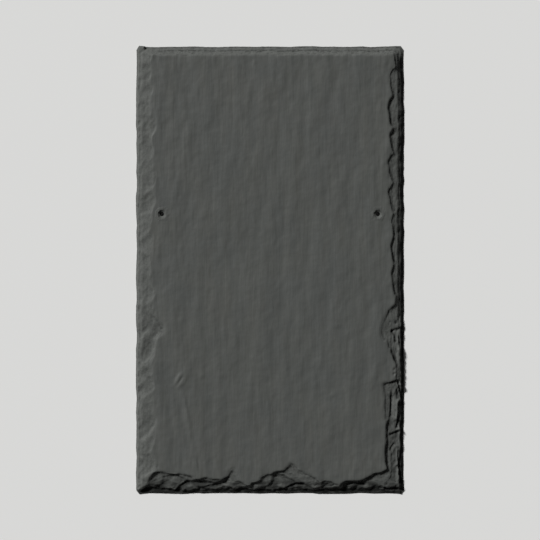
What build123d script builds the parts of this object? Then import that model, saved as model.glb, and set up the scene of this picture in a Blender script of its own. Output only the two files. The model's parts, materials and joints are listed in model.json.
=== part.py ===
from build123d import *

import os
import random
from dataclasses import dataclass
from math import radians, tan

# A roofing slate: one piece of stone, split along its cleavage, dressed on all four edges and holed
# for two nails. The bed lies on z = 0 with the face up, X runs across the slate and Y from its tail
# to its head, and the origin is at the middle of the bed. Sizes are in millimetres.

# Driving dimensions of the slate
slate_length = 500.0
slate_width = 300.0
slate_thickness = 10.0

# How it is laid and nailed, which settles where the nail holes come
headlap = 100.0
nail_above_lap = 12.0
nail_from_side = 30.0
nail_hole_diameter = 4.5
spall_diameter = 12.0
spall_angle = 112.0

# The broken outline, as the knife leaves it on the bed side
side_lean = 45.0
corner_break = 4.0
edge_wander = 1.3
shortest_break = 7.0
longest_break = 19.0

# How far the ledge at the inner end of a flake leans inward as it rises, on the broken edges and on
# the bevelled left side, and how far a cut runs out past the edge
ledge_lean = 24.0
bevel_lean = 48.0
overrun = 14.0

# The outline of a plain flake as shares of its length and reach, how much of it the next one takes,
# and the most that its floor rises along the edge, for each millimetre
flake_outline = ((0.0, 0.1), (0.14, 0.75), (0.68, 1.0), (0.9, 0.75), (1.0, 0.1))
flake_overlap = 0.18
flake_twist = 0.03

# The small flakes that the knife takes off all along the tail and the right side
chip_reach = (4.0, 8.0)
chip_length = (9.0, 21.0)
chip_step = (1.4, 3.4)
chip_rim = (4.6, 6.2)

# The larger flakes of the right side where the next courses cover it
flake_reach = (12.0, 21.0)
flake_length = (26.0, 58.0)
flake_step = (0.9, 2.4)
flake_rim = (5.4, 6.6)

# The steep breaks along the foot of the tail and of the right side, which leave a thin lip on the bed
foot_reach = (4.0, 7.5)
foot_length = (11.0, 30.0)
foot_step = (3.8, 5.6)
foot_rim = (0.4, 1.2)

# The round blows that bevel the left side, and the narrower ones along the head
bevel_reach = 20.0
bevel_rim = 4.2
bevel_radius = 42.0
bevel_pitch = 21.0
bevel_skew = -13.0
head_reach = 9.0
head_rim = 4.2
head_radius = 34.0
head_pitch = 16.0
head_skew = 3.0
blow_spread = 0.22
blow_rim_spread = 0.6

# The thin flakes that overlap the blows on the left side where the next courses cover it
thin_reach = (13.0, 20.0)
thin_length = (26.0, 48.0)
thin_step = (0.5, 1.4)
thin_rim = (4.4, 5.8)

# Seeds of the uneven edges, so that the same slate comes out each time
outline_seeds = (3, 5, 7, 11)
bevel_seed = 13
head_seed = 17
tail_chip_seed = 19
right_chip_seed = 23
covered_seed = 29
tail_foot_seed = 31
right_foot_seed = 41
thin_seed = 37

# The four edges, each seen from the stone: x runs along the edge, anticlockwise round the slate,
# y runs inward from it, and z is the height above the bed
half_width = slate_width / 2
half_length = slate_length / 2
tail = Plane(origin=(-half_width, -half_length, 0), x_dir=(1, 0, 0), z_dir=(0, 0, 1))
right = Plane(origin=(half_width, -half_length, 0), x_dir=(0, 1, 0), z_dir=(0, 0, 1))
head = Plane(origin=(half_width, half_length, 0), x_dir=(-1, 0, 0), z_dir=(0, 0, 1))
left = Plane(origin=(-half_width, half_length, 0), x_dir=(0, -1, 0), z_dir=(0, 0, 1))


@dataclass(frozen=True)
class Scar:
    """The place that one flake left, open towards the edge it was struck from.

    ledge: points (along the edge, inward from it) of the foot of the ledge.
    step: height of the ledge at its innermost point, down from the face.
    rim: height of the floor above the bed where it comes out at the edge.
    place: where along the edge the points are counted from.
    twist: how much the floor rises for each millimetre along the edge.
    """

    ledge: tuple
    step: float
    rim: float
    place: float = 0.0
    twist: float = 0.0


@dataclass(frozen=True)
class Blow:
    """A round-bottomed blow across an edge, down from the face and out over the edge.

    at: where along the edge it comes out.
    reach: how far in from the edge its bottom starts.
    rim: height of its bottom above the bed at the edge.
    radius: radius of its round bottom.
    skew: how much further along the edge it starts than it comes out.
    """

    at: float
    reach: float
    rim: float
    radius: float
    skew: float


# The flakes of the tail, counted from its left corner
tail_scars = (
    # the corner sheet, the deeper break inside it and the breaks at its foot
    Scar(((3, 1), (11, 6), (14, 12), (16, 17), (21, 24.5), (30, 25.5), (41, 23), (53, 23), (64, 20),
          (66, 3)), 1.5, 6.2, twist=0.03),
    Scar(((29, 1), (28, 10), (32, 17), (30, 20.5), (41, 22.2), (50, 21), (60, 14), (66, 2)), 3.1, 5.2),
    Scar(((9, 1), (12, 8), (17, 12), (22, 10), (28, 10), (33, 1)), 4.6, 3.4),
    Scar(((2, 0), (6, 4), (11, 6), (14, 3), (20, 2), (26, 4.4), (33, 5), (42, 5), (47, 0)), 5.4, 0.6),
    # the second sheet, the thin one over it, the crack that curls up from its end and its foot
    Scar(((42, 1), (49, 4), (52, 10), (58, 15.3), (80, 15.3), (88, 12.5), (97, 14.5), (101, 17), (103, 2)),
         3.6, 4.8),
    Scar(((70, 9), (71, 15), (76, 18.5), (80, 19.5), (87, 16.5), (94, 17.5), (97, 9)), 0.8, 7.8),
    Scar(((98, 8), (98, 15), (102, 18.5), (105, 22), (108, 28.5), (114, 32.5), (117, 24), (113, 9)),
         0.9, 5.8, twist=0.2),
    Scar(((56, 1), (65, 5.5), (70, 7.3), (80, 8), (89, 10.5), (95, 12), (98, 8), (102, 1)), 5.0, 1.2),
    # the low breaks before the middle
    Scar(((104, 3), (107, 14), (115, 15.2), (123, 11), (131, 7.4), (134, 2)), 2.2, 5.6),
    Scar(((109, 1), (112, 8), (122, 9.7), (130, 8.4), (134, 1)), 4.2, 3.6),
    Scar(((101, 0), (107, 3.6), (115, 4.7), (121, 1.5), (131, 2.4), (135, 0)), 5.8, 0.6),
    # the middle sheet with its curl, the thin one inside it and the break that swings down from it
    Scar(((128, 2), (129, 12.5), (139, 15), (141, 19), (147, 22.3), (156, 23), (158, 3)), 1.5, 6.4),
    Scar(((150, 4), (153, 22.5), (159, 25.4), (167, 26.6), (171, 32), (173, 37), (180, 31), (184, 20),
          (184, 4)), 0.7, 5.8, twist=0.05),
    Scar(((129, 2), (130, 12.3), (147, 13.6), (151, 3)), 3.0, 5.4),
    Scar(((121, 0), (131, 3.6), (138, 6.5), (148, 9.6), (152, 14), (154, 19), (157, 22.4), (165, 22),
          (175, 16), (186, 8), (190, 1)), 3.8, 3.8),
    # the broad thin sheet right of the middle, and the two breaks at its foot
    Scar(((166, 3), (170, 20), (176, 28), (182, 27.4), (195, 23), (205, 15), (209, 3)), 0.5, 7.2),
    Scar(((159, 0), (167, 6), (176, 11), (186, 12), (191, 10), (197, 6.5), (206, 2)), 5.0, 2.6),
    Scar(((167, 0), (175, 4.6), (181, 6.5), (187, 4), (195, 5.6), (208, 1)), 5.8, 0.6),
    # the small breaks before the right corner, counted from that corner as those after them are
    Scar(((-98, 2), (-93, 9), (-92.5, 13), (-90, 15.5), (-82, 14), (-75, 9.5), (-73, 2)), 1.8, 6.0,
         slate_width),
    Scar(((-103, 1), (-97, 5), (-90, 10), (-87, 11.5), (-83, 9.3), (-76, 9), (-73, 1)), 4.2, 3.2,
         slate_width),
    # the corner flake, and the deeper breaks along its foot
    Scar(((-78, 2), (-73, 9), (-66, 14), (-50, 14.5), (-44, 16.5), (-39, 20), (-34, 22.8), (-26, 24.5),
          (-19, 28), (3, 30)), 2.4, 5.2, slate_width),
    Scar(((-76, 1), (-72, 6), (-67, 11), (-50, 12), (-40, 11.5), (-31, 9), (-24, 10), (-19, 13), (-14, 3)),
         5.2, 2.8, slate_width),
    Scar(((-73, 1), (-69, 6), (-64, 8.4), (-57, 7), (-53, 2)), 5.6, 0.6, slate_width),
    Scar(((-43, 0), (-35, 3), (-31, 6), (-27, 3), (-19, 3), (-14, 5), (-9, 10), (-3, 12.5), (3, 13)),
         5.4, 0.8, slate_width),
)
# The flakes of the right side, counted from its tail corner
right_scars = (
    # the long flake from the corner up to the cross break, the thin break along it and the next flake
    Scar(((8, 2), (16, 14), (28, 18.5), (36, 20.3), (47, 21), (58, 19.6), (67, 20), (71, 2)), 2.8, 4.8),
    Scar(((10, 1), (16, 17.5), (23, 15), (33, 14), (38, 15.5), (46, 14.5), (52, 2)), 3.9, 4.2),
    Scar(((66, 2), (67, 19.5), (76, 20), (85, 17.5), (99, 16), (110, 17), (116, 2)), 2.3, 5.4),
    # the square-topped notch
    Scar(((84, 3), (85, 22.5), (105, 22.5), (110, 22), (117, 24), (124, 24.8), (126, 14), (129, 2)),
         1.1, 6.4),
    # the three-sided facet, and the shallow flake above it
    Scar(((138, 2), (140, 7), (149, 10), (159, 15), (167, 15.5), (181, 15.5), (184, 8), (186, 2)), 2.1, 5.4),
    Scar(((158, 3), (163, 17.5), (171, 20), (173, 24.5), (180, 27), (190, 26), (205, 18), (217, 2)),
         0.6, 7.0),
    # the low breaks along the foot
    Scar(((4, 0), (14, 6), (25, 5.5), (36, 3.4), (42, 4), (47, 6.4), (57, 6.5), (68, 9.4), (71, 6), (73, 0)),
         6.4, 1.6),
    Scar(((91, 0), (97, 5), (108, 7.2), (116, 8.4), (124, 4.4), (132, 5), (141, 3.5), (146, 0)), 6.2, 1.8),
    Scar(((166, 0), (171, 4.5), (176, 5), (182, 0)), 6.6, 1.6),
)
# The flakes of the bevelled left side, counted from its tail corner
left_scars = (
    # the wide flake at the top of what shows, and the short one within it
    Scar(((-207, 2), (-199, 20), (-190, 31), (-182, 33), (-178, 26), (-173, 22), (-160, 19), (-154, 17),
          (-149, 10), (-143, 1)), 0.3, 5.4, slate_length),
    Scar(((-193, 1), (-188, 13), (-183, 15.5), (-180, 9), (-175, 4), (-173, 0)), 2.5, 4.2, slate_length),
    # the flakes below it, each one's end overlapped by the one before
    Scar(((-147, 2), (-143, 9), (-139, 14), (-128, 19), (-119, 18.5), (-121, 8), (-117, 1)), 0.7, 4.8,
         slate_length),
    Scar(((-120, 1), (-116, 8), (-108, 7), (-99, 1)), 3.6, 4.0, slate_length),
    Scar(((-117, 3), (-112, 20), (-105, 20.5), (-99, 16), (-96, 3)), 0.4, 5.4, slate_length),
    Scar(((-104, 1), (-97, 18), (-86, 23.5), (-68, 22), (-60, 20.5), (-50, 16), (-43, 7), (-40, 1)),
         0.3, 5.6, slate_length),
    Scar(((-101, 2), (-97, 14), (-86, 20), (-78, 20), (-71, 17), (-65, 13), (-60, 7), (-57, 1)), 1.2, 4.6,
         slate_length),
    Scar(((-48, 1), (-42, 17), (-32, 25), (-27, 21), (-22, 8), (-20, 1)), 0.3, 5.0, slate_length),
)
shown_length = 217.0


def broken_line(edge: Plane, run: float, seed: int, lean: float) -> list:
    """Points of an edge, unevenly spaced, that touch the edge line at one of them, moved in by lean."""
    draw = random.Random(seed)
    stops = [corner_break]
    while stops[-1] < run - corner_break - longest_break:
        stops.append(stops[-1] + draw.uniform(shortest_break, longest_break))
    stops.append(run - corner_break)
    insets = [draw.uniform(0, edge_wander) for _ in stops]
    outermost = min(insets)
    stops[0] += lean
    stops[-1] -= lean
    return [edge.from_local_coords((at, inset - outermost + lean)) for at, inset in zip(stops, insets)]


def broken_outline(lean: float) -> list:
    """The four broken edges in a row, anticlockwise from the tail's left corner."""
    runs = (slate_width, slate_length, slate_width, slate_length)
    sides = zip((tail, right, head, left), runs, outline_seeds)
    return [point for edge, run, seed in sides for point in broken_line(edge, run, seed, lean)]


def seeded_scars(start: float, stop: float, length: tuple, reach: tuple, step: tuple, rim: tuple,
                 seed: int) -> list:
    """A row of plain flakes that overlap a little, each of its own length, reach and depth."""
    draw = random.Random(seed)
    row = []
    at = start
    while at < stop:
        span = draw.uniform(*length)
        inner = draw.uniform(*reach)
        ledge = tuple((share * span, depth * inner) for share, depth in flake_outline)
        twist = draw.uniform(-flake_twist, flake_twist)
        row.append(Scar(ledge, draw.uniform(*step), draw.uniform(*rim), at, twist))
        at += span * (1 - flake_overlap)
    return row


def row_of_blows(run: float, pitch: float, reach: float, rim: float, radius: float, skew: float,
                 seed: int) -> list:
    """Blows side by side along an edge, each a little off the even pitch, reach, radius and skew."""
    draw = random.Random(seed)
    count = round(run / pitch)
    spread = lambda size: size * draw.uniform(1 - blow_spread, 1 + blow_spread)
    return [
        Blow((i + 0.5) * run / count + pitch * draw.uniform(-blow_spread, blow_spread), spread(reach),
             rim + draw.uniform(-blow_rim_spread, blow_rim_spread), spread(radius), spread(skew))
        for i in range(count)
    ]


def scar_floor(edge: Plane, scar: Scar) -> Sketch:
    """The outline of a flake, drawn on its sloping floor and open past the edge."""
    reach = max(inward for _, inward in scar.ledge)
    fall = slate_thickness - scar.step - scar.rim
    along = edge.x_dir + Vector(0, 0, scar.twist)
    inward = edge.y_dir * reach + Vector(0, 0, fall)
    middle = (scar.ledge[0][0] + scar.ledge[-1][0]) / 2
    foot = edge.from_local_coords((scar.place + middle, 0, scar.rim))
    stretch = inward.length / reach
    ledge = [(at - middle, depth * stretch) for at, depth in scar.ledge]
    mouth = [(ledge[-1][0], -overrun), (ledge[0][0], -overrun)]
    with BuildSketch(Plane(origin=foot, x_dir=along, z_dir=along.cross(inward))) as floor:
        with BuildLine():
            Polyline(*ledge, *mouth, close=True)
        make_face()
    return floor.sketch


def blow_section(edge: Plane, blow: Blow) -> Sketch:
    """The round of a blow, drawn square to the line that its bottom follows out over the edge."""
    foot = edge.from_local_coords((blow.at, 0, blow.rim))
    start = edge.from_local_coords((blow.at + blow.skew, blow.reach, slate_thickness))
    run = (start - foot).normalized()
    across = run.cross(Vector(0, 0, 1)).normalized()
    centre = foot + across.cross(run) * blow.radius
    with BuildSketch(Plane(origin=centre, x_dir=across, z_dir=run)) as section:
        Circle(blow.radius)
    return section.sketch


left_blows = row_of_blows(slate_length, bevel_pitch, bevel_reach, bevel_rim, bevel_radius, bevel_skew,
                          bevel_seed)
head_blows = row_of_blows(slate_width, head_pitch, head_reach, head_rim, head_radius, head_skew,
                          head_seed)
tail_chips = seeded_scars(0, slate_width, chip_length, chip_reach, chip_step, chip_rim, tail_chip_seed)
right_chips = seeded_scars(0, slate_length, chip_length, chip_reach, chip_step, chip_rim,
                           right_chip_seed)
covered_scars = seeded_scars(shown_length, slate_length - flake_length[0], flake_length, flake_reach,
                             flake_step, flake_rim, covered_seed)
tail_foot = seeded_scars(0, slate_width, foot_length, foot_reach, foot_step, foot_rim, tail_foot_seed)
right_foot = seeded_scars(shown_length, slate_length - foot_length[0], foot_length, foot_reach, foot_step,
                          foot_rim, right_foot_seed)
thin_flakes = seeded_scars(0, slate_length - shown_length - thin_length[0], thin_length, thin_reach,
                           thin_step, thin_rim, thin_seed)

with BuildPart() as slate:
    # The split blank, with its broken sides leaning in towards the face
    with BuildSketch():
        with BuildLine():
            Polyline(*broken_outline(0), close=True)
        make_face()
    with BuildSketch(Plane.XY.offset(slate_thickness)):
        with BuildLine():
            Polyline(*broken_outline(slate_thickness * tan(radians(side_lean))), close=True)
        make_face()
    loft(ruled=True)

    # The bevelled left side and the dressed head
    for edge, blows in ((left, left_blows), (head, head_blows)):
        sections = [blow_section(edge, blow).face() for blow in blows]
        extrude(sections, amount=2 * bevel_reach, both=True, mode=Mode.SUBTRACT)

    # The chips and flakes of the tail, the right side and the left, each with its ledge leaning inward
    tail_flakes = (*tail_chips, *tail_foot, *tail_scars)
    right_flakes = (*right_chips, *covered_scars, *right_foot, *right_scars)
    left_flakes = (*thin_flakes, *left_scars)
    for edge, lean, scars in ((tail, ledge_lean, tail_flakes), (right, ledge_lean, right_flakes),
                              (left, bevel_lean, left_flakes)):
        floors = [scar_floor(edge, scar).face() for scar in scars]
        up = edge.y_dir * tan(radians(lean)) + Vector(0, 0, 1)
        extrude(floors, amount=2 * slate_thickness, dir=up, mode=Mode.SUBTRACT)

    # The two nail holes, punched from the bed so that the stone spalls round them on the face
    gauge = (slate_length - headlap) / 2
    nail_line = gauge + headlap + nail_above_lap - half_length
    nail_x = half_width - nail_from_side
    with Locations((-nail_x, nail_line, slate_thickness), (nail_x, nail_line, slate_thickness)):
        CounterSinkHole(nail_hole_diameter / 2, spall_diameter / 2, counter_sink_angle=spall_angle)

slate.part.label = "slate"

os.makedirs("parts", exist_ok=True)
export_step(slate.part, "parts/slate.step")
print("slate", len(slate.part.solids()), "solid", len(slate.part.faces()), "faces")
print("size", slate.part.bounding_box().size, "volume", round(slate.part.volume))
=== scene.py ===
"""Dresses the roofing slate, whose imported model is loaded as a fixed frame.

The slate is one closed surface of stone, worked out with numpy on a graded grid. It takes its outline
and its flaked edges from the frame's own node, and adds what is too fine for that: the riven grain of
the face, the thin sheets that the broken edges part into, and the ragged spalls of the nail holes.
Lengths are in metres. X runs across the slate, Y from its tail to its head and Z up from its bed.
"""

import json
import logging
import math
from dataclasses import dataclass
from enum import Enum, IntEnum
from functools import reduce

import bpy
import numpy as np
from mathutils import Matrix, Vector


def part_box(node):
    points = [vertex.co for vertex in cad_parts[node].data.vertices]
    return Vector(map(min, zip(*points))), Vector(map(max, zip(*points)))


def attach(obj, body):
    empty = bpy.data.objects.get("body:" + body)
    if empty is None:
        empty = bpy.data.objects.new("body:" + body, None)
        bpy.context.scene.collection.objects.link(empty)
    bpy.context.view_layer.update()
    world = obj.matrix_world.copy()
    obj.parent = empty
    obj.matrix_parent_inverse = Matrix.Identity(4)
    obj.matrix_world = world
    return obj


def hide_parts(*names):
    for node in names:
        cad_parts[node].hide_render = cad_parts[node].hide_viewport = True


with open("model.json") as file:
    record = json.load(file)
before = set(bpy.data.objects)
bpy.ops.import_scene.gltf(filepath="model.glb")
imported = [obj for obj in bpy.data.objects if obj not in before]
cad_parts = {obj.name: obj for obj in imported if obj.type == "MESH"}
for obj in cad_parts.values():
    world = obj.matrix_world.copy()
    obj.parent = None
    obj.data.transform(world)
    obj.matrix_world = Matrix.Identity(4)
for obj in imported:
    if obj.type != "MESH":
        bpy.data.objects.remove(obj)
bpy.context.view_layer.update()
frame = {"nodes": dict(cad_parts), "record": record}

Array = np.ndarray
Socket = bpy.types.NodeSocket

MM = 0.001
NOISE_CELLS = 256
LINE_SAMPLES = 8001
BED_CELLS = (1, 2, 4, 8)
# Point attributes: broken stone, deep places (darkened as painted shade), painted shade, and worn lips
# (lightened as worn stone and as a painted highlight).
SHARES = ("broken", "deep", "painted_shade", "worn_and_highlit")

log = logging.getLogger("slate")


class Side(Enum):
    """The four edges of the slate: which axis each runs along, and whether it is at the high end."""

    TAIL = (0, False)
    RIGHT = (1, True)
    HEAD = (0, True)
    LEFT = (1, False)


class MarkKind(Enum):
    """What a mark on the face is: a raised scab, a fine open crack, or the ledge of a thin sheet."""

    SCAB = "scab"
    CRACK = "crack"
    LEDGE = "ledge"


SCAB, CRACK, LEDGE = MarkKind


class Seed(IntEnum):
    """Which noise each effect draws."""

    RAG = 40
    WANDER_ACROSS = 101
    FINE_ACROSS = 106
    WANDER_ALONG = 111
    FINE_ALONG = 116
    SLOPE = 121
    SMALL_LUMPS = 131
    THIN_SHEETS = 141
    GRIT = 151
    LUMPS = 155
    RIPPLES = 161
    SWELL = 171
    BEND = 178
    GRAIN = 181
    PATCHES = 191
    BED_SWELL = 201
    BED_GRAIN = 211
    NAILS = 221
    TAIL_FOOT = 231
    SIDE_FOOT = 241
    PITS = 251
    WALL = 261
    SHADE_THINNING = 271
    SHADE_PATCHES = 283


def mm(*lengths: float) -> tuple:
    """Lengths in millimetres, as metres."""
    return tuple(length * MM for length in lengths)


def smoothstep(low: float, high: float, value: Array) -> Array:
    """The share from 0 at low to 1 at high by which a value has risen, on the curve 3t^2 - 2t^3."""
    t = np.clip((value - low) / (high - low), 0.0, 1.0)
    return t * t * (3.0 - 2.0 * t)


def turned(x: Array, y: Array, degrees: float) -> tuple:
    """Places along and across a direction turned from the X axis: x cos + y sin and y cos - x sin."""
    cos, sin = math.cos(math.radians(degrees)), math.sin(math.radians(degrees))
    return cos * x + sin * y, cos * y - sin * x


def noise(u: Array, v: Array, seed: int) -> Array:
    """Gradient noise with cells of one unit.

    Every corner of the unit grid has a seeded random direction. A point takes the dot product of each
    of its four corners' directions with the way from that corner to it, and blends the four by the
    curve 6t^5 - 15t^4 + 10t^3 in u and in v.

    Args:
        u: first coordinate, in cells.
        v: second coordinate, in cells.
        seed: which noise it is.

    Returns:
        Values between about -1 and 1.
    """
    turn = np.random.default_rng(seed).uniform(0.0, 2.0 * math.pi, (NOISE_CELLS, NOISE_CELLS))
    i, j = np.floor(u).astype(int), np.floor(v).astype(int)
    s, t = u - i, v - j

    def corner(a: int, b: int) -> Array:
        """The dot product of one corner's direction with the way from it."""
        angle = turn[(i + a) % NOISE_CELLS, (j + b) % NOISE_CELLS]
        return np.cos(angle) * (s - a) + np.sin(angle) * (t - b)

    across = s**3 * (s * (6.0 * s - 15.0) + 10.0)
    along = t**3 * (t * (6.0 * t - 15.0) + 10.0)
    near = corner(0, 0) * (1.0 - across) + corner(1, 0) * across
    far = corner(0, 1) * (1.0 - across) + corner(1, 1) * across
    return 1.5 * (near * (1.0 - along) + far * along)


def fractal(x: Array, y: Array, cell: tuple, octaves: int, seed: int) -> Array:
    """Noise summed over octaves, each with cells half as large and half as strong as the one before.

    Args:
        x: place across the slate.
        y: place along the slate.
        cell: length of the largest cells across and along the slate.
        octaves: how many octaves are summed.
        seed: which noise it is.

    Returns:
        Values between about -1 and 1.
    """
    total = np.zeros(np.broadcast(x, y).shape)
    for octave in range(octaves):
        total += 0.5**octave * noise(x / cell[0] * 2**octave, y / cell[1] * 2**octave, seed + octave)
    return total / (2.0 - 0.5 ** (octaves - 1))


def split_sheets(height: Array, sheet: float, riser: float) -> Array:
    """Turns a slope into a flight of thin sheets.

    The height is counted in sheets. Its whole part stays, and its remainder waits at 0 and then rises
    to 1 by smoothstep over the last share of the sheet.

    Args:
        height: the slope's height.
        sheet: thickness of one sheet.
        riser: share of a sheet that its riser takes.

    Returns:
        The stepped height.
    """
    count = height / sheet
    whole = np.floor(count)
    return sheet * (whole + smoothstep(1.0 - riser, 1.0, count - whole))


@dataclass(frozen=True)
class Spacing:
    """How the grid's lines stand along one axis: close near both ends, and wider between them.

    Attributes:
        bands: widths of the close bands at the start and at the end.
        close: spacing in the band at the start and in the band at the end.
        detail: middle of a third close band, how far it reaches to each side, and its spacing.
        rim: spacing at the very edge.
        wide: spacing between the bands.
        rim_end: how far in from an end the rim's spacing holds.
        close_start: how far in the band's own spacing starts.
        fade: way over which a band's spacing widens.
    """

    bands: tuple
    close: tuple
    detail: tuple
    rim: float = 0.42 * MM
    wide: float = 1.2 * MM
    rim_end: float = 2.0 * MM
    close_start: float = 5.0 * MM
    fade: float = 6.0 * MM

    def lines(self, length: float) -> Array:
        """Places of the lines from 0 to length.

        The wanted spacing is a function of place. The sum of its inverse counts the gaps, and the
        lines stand at equal parts of that sum. The count is rounded to a multiple of the bed's
        largest cell.

        Args:
            length: where the last line is.

        Returns:
            The places.
        """
        x = np.linspace(0.0, length, LINE_SAMPLES)
        wanted = np.full_like(x, self.wide)
        for distance, band, near in zip((x, length - x), self.bands, self.close):
            stops = (0.0, self.rim_end, self.close_start, band, band + self.fade)
            spacings = (self.rim, self.rim, near, near, self.wide)
            wanted = np.minimum(wanted, np.interp(distance, stops, spacings))
        middle, reach, near = self.detail
        stops = (reach, reach + self.fade)
        wanted = np.minimum(wanted, np.interp(np.abs(x - middle), stops, (near, self.wide)))
        parts = 0.5 * (1.0 / wanted[1:] + 1.0 / wanted[:-1]) * np.diff(x)
        count = np.concatenate(([0.0], np.cumsum(parts)))
        gaps = BED_CELLS[-1] * round(count[-1] / BED_CELLS[-1])
        return np.interp(np.linspace(0.0, count[-1], gaps + 1), count, x)


def running_mean(height: Array, lines: Array, reach: float, axis: int) -> Array:
    """Mean of a height over a reach to both sides, along one axis of a grid of uneven lines.

    The height is integrated along the axis. The integral is read a reach further on and a reach
    further back, and the difference is divided by the way between the two places. Near an end the
    reach is no longer than the way to it, so that the mean stays centred.

    Args:
        height: the heights on the grid.
        lines: places of the grid's lines along the axis.
        reach: how far the mean reaches to each side.
        axis: which axis it runs along.

    Returns:
        The mean at each grid point.
    """
    h = np.moveaxis(height, axis, 0)
    steps = 0.5 * (h[1:] + h[:-1]) * np.diff(lines)[:, None]
    total = np.concatenate([np.zeros((1, h.shape[1])), np.cumsum(steps, axis=0)])
    way = np.clip(np.minimum(lines - lines[0], lines[-1] - lines), 0.001 * MM, reach)
    ends = (lines - way, lines + way)
    read = []
    for place in ends:
        i = np.clip(np.searchsorted(lines, place) - 1, 0, len(lines) - 2)
        share = ((place - lines[i]) / (lines[i + 1] - lines[i]))[:, None]
        read.append(total[i] + share * (total[i + 1] - total[i]))
    return np.moveaxis((read[1] - read[0]) / (ends[1] - ends[0])[:, None], 0, axis)


def from_inside(height: Array) -> Array:
    """The heights of a grid, with those on its border taken from the nearest point inside."""
    return np.pad(height[1:-1, 1:-1], 1, mode="edge")


def cells_between(outer: tuple, inner: tuple, step: int, rows: int, finer_outside: bool) -> list:
    """Faces of grid cells of one size that lie in one block and outside a second, smaller one.

    A cell is a ring of eight grid points, its corners and the middles of its sides. It uses its
    corners, and the middle of a side only where that side lies on the outer block's border and the
    cells outside are half as large, so that both sides of the border share all their points.

    Args:
        outer: first and last grid line of the outer block, across and then along.
        inner: the same for the block left open, or an empty tuple.
        step: size of a cell in grid lines.
        rows: grid points in one line along the slate.
        finer_outside: whether the cells outside the outer block are half as large.

    Returns:
        Arrays of faces, one array for each number of corners and way of using them.
    """
    i0, i1, j0, j1 = outer
    i, j = np.meshgrid(np.arange(i0, i1, step), np.arange(j0, j1, step), indexing="ij")
    kept = np.ones(i.shape, bool)
    if inner:
        kept = ~((i >= inner[0]) & (i < inner[1]) & (j >= inner[2]) & (j < inner[3]))
    i, j = i[kept], j[kept]
    half = step // 2
    ring = ((0, 0), (half, 0), (step, 0), (step, half), (step, step), (half, step), (0, step), (0, half))
    points = np.stack([(i + a) * rows + (j + b) for a, b in ring], axis=1)
    used = np.ones(points.shape, bool)
    for place, border in ((1, j == j0), (3, i + step == i1), (5, j + step == j1), (7, i == i0)):
        used[:, place] = border & finer_outside
    patterns = np.unique(used, axis=0)
    return [points[(used == pattern).all(axis=1)][:, pattern] for pattern in patterns]


def new_piece(name: str, points: Array, faces: list) -> bpy.types.Object:
    """Makes a smooth-shaded mesh object at the origin and puts it in the scene.

    Args:
        name: the object's name.
        points: places of its points, one row each.
        faces: its faces as lists of point numbers.

    Returns:
        The object.
    """
    mesh = bpy.data.meshes.new(name)
    mesh.from_pydata(points.tolist(), [], faces)
    mesh.polygons.foreach_set("use_smooth", np.ones(len(mesh.polygons), bool))
    mesh.update()
    piece = bpy.data.objects.new(name, mesh)
    bpy.context.scene.collection.objects.link(piece)
    return piece


def mesh_points(mesh: bpy.types.Mesh) -> Array:
    """The places of a mesh's points, one row each."""
    flat = np.empty(3 * len(mesh.vertices))
    mesh.vertices.foreach_get("co", flat)
    return flat.reshape(-1, 3)


@dataclass(frozen=True)
class Mark:
    """One mark on the face, placed by its middle, with its lengths in millimetres.

    Attributes:
        kind: what it is.
        x: its middle, across from the middle of the slate.
        y: its middle, up from the tail's edge.
        length: its length.
        width: its width.
        turn: angle of its length from the X axis, in degrees.
        height: how far it stands up, or down if less than nothing.
        bend: how far its middle bows out across its length.
    """

    kind: MarkKind
    x: float
    y: float
    length: float
    width: float
    turn: float
    height: float
    bend: float = 0.0

    def relief(self, x: Array, y: Array) -> Array:
        """How far the mark lifts the face.

        In the mark's own directions, p along and q across, a scab is a bell in both. A crack is a
        narrow bell across with square ends. A ledge is a step across that fades behind its brink
        and towards its ends. A bent mark is moved across by a parabola of p.

        Args:
            x: places across the slate.
            y: places up from the tail's edge.

        Returns:
            The lift at each place.
        """
        p, q = turned(x - self.x * MM, y - self.y * MM, self.turn)
        p = p / (0.5 * self.length * MM)
        q = (q - self.bend * MM * (1.0 - p**2)) / (0.5 * self.width * MM)
        height = self.height * MM
        if self.kind is SCAB:
            return height * np.exp(-(p**2) - q**2)
        ends = 1.0 - smoothstep(0.7, 1.0, np.abs(p))
        if self.kind is CRACK:
            return height * ends * np.exp(-(q**2))
        return height * ends * smoothstep(-0.12, 0.12, q) * (1.0 - smoothstep(0.1, 1.0, q))


@dataclass(frozen=True)
class Grid:
    """The grid that the stone's surfaces are worked out on.

    Attributes:
        across: places of its lines from the left side.
        along: places of its lines from the tail.
        u: how far each point is from the left side.
        v: how far each point is from the tail.
        x: the point's place in X once the grid follows the broken outline.
        y: its place in Y.
        size: the slate's width, length and thickness.
    """

    across: Array
    along: Array
    u: Array
    v: Array
    x: Array
    y: Array
    size: Array

    def rim(self) -> Array:
        """How far each point is from the nearest side."""
        width, length, _ = self.size
        return np.minimum(np.minimum(self.u, width - self.u), np.minimum(self.v, length - self.v))

    def noise(self, across: float, along: float, octaves: int, seed: int) -> Array:
        """Noise in X and Y, whose largest cells have a size in millimetres across and along."""
        return fractal(self.x, self.y, (across * MM, along * MM), octaves, seed)

    def softened(self, height: Array, reach: float) -> Array:
        """Takes the running mean twice along both axes, which rounds a height off like a soft brush."""
        for _ in range(2):
            height = running_mean(running_mean(height, self.across, reach, 0), self.along, reach, 1)
        return height


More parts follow.
